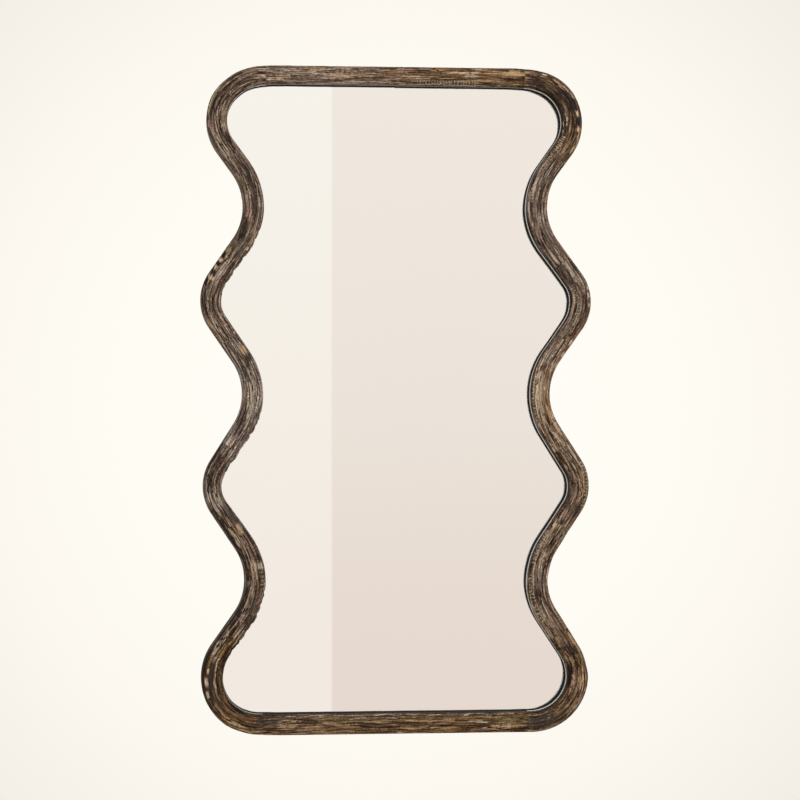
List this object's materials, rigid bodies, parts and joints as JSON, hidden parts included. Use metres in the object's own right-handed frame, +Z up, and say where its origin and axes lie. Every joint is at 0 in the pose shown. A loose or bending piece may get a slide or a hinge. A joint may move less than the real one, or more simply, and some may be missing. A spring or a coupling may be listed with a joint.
{
  "type": "wavy framed wall mirror",
  "caption": "Upright wall mirror in a brushed dark wood frame whose sides wave in and out, with straight top and bottom rails, a boarded back and swinging hanging rings.",
  "frame": {"origin": "the point of the wall midway between the two hangers' ring pivots", "axes": "+Z up the mirror, +Y out of its back into the wall, +X to the right as seen from the front"},
  "size_m": [0.7062, 0.043, 1.2],
  "materials": {
    "brushed_wood": "open-grained dark brown wood, wire-brushed along the bends, with pale grey-tan wax in the grain and bare chips on the edges",
    "rail_wood": "the same wood, warmer golden brown, brushed along the rail",
    "tenon_beech": "plain unfinished beech",
    "mirror": "clear silvered glass",
    "hardboard": "matt brown hardboard",
    "screw_steel": "bright zinc plate",
    "hanger_steel": "satin zinc plate",
    "rubber": "matt black rubber"
  },
  "bodies": {
    "mirror_body": {"backing_board": "hardboard", "backing_screw_bottom": "screw_steel", "backing_screw_left_1": "screw_steel", "backing_screw_left_2": "screw_steel", "backing_screw_left_3": "screw_steel", "backing_screw_left_4": "screw_steel", "backing_screw_left_5": "screw_steel", "backing_screw_right_1": "screw_steel", "backing_screw_right_2": "screw_steel", "backing_screw_right_3": "screw_steel", "backing_screw_right_4": "screw_steel", "backing_screw_right_5": "screw_steel", "backing_screw_top": "screw_steel", "bottom_rail": "rail_wood", "left_bumper_bottom": "rubber", "left_bumper_top": "rubber", "left_corner_bottom": "brushed_wood", "left_corner_top": "brushed_wood", "left_crest_lower": "brushed_wood", "left_crest_upper": "brushed_wood", "left_hanger_screw_lower": "screw_steel", "left_hanger_screw_upper": "screw_steel", "left_hanger_strap": "hanger_steel", "left_hollow_lower": "brushed_wood", "left_hollow_middle": "brushed_wood", "left_hollow_upper": "brushed_wood", "left_tenon_1": "tenon_beech", "left_tenon_2": "tenon_beech", "left_tenon_3": "tenon_beech", "left_tenon_4": "tenon_beech", "left_tenon_5": "tenon_beech", "left_tenon_6": "tenon_beech", "left_tenon_7": "tenon_beech", "left_tenon_8": "tenon_beech", "mirror_glass": "mirror", "right_bumper_bottom": "rubber", "right_bumper_top": "rubber", "right_corner_bottom": "brushed_wood", "right_corner_top": "brushed_wood", "right_crest_lower": "brushed_wood", "right_crest_upper": "brushed_wood", "right_hanger_screw_lower": "screw_steel", "right_hanger_screw_upper": "screw_steel", "right_hanger_strap": "hanger_steel", "right_hollow_lower": "brushed_wood", "right_hollow_middle": "brushed_wood", "right_hollow_upper": "brushed_wood", "right_tenon_1": "tenon_beech", "right_tenon_2": "tenon_beech", "right_tenon_3": "tenon_beech", "right_tenon_4": "tenon_beech", "right_tenon_5": "tenon_beech", "right_tenon_6": "tenon_beech", "right_tenon_7": "tenon_beech", "right_tenon_8": "tenon_beech", "top_rail": "rail_wood"},
    "left_ring": {"left_hanger_ring": "hanger_steel"},
    "right_ring": {"right_hanger_ring": "hanger_steel"}
  },
  "joints": [
    {"name": "left_ring_swing", "type": "hinge", "parent": "mirror_body", "child": "left_ring", "pos_m": [-0.26565, -0.00335, 0], "axis": [1, 0, 0], "range_deg": [0, 180]},
    {"name": "right_ring_swing", "type": "hinge", "parent": "mirror_body", "child": "right_ring", "pos_m": [0.26565, -0.00335, 0], "axis": [1, 0, 0], "range_deg": [0, 180]}
  ]
}
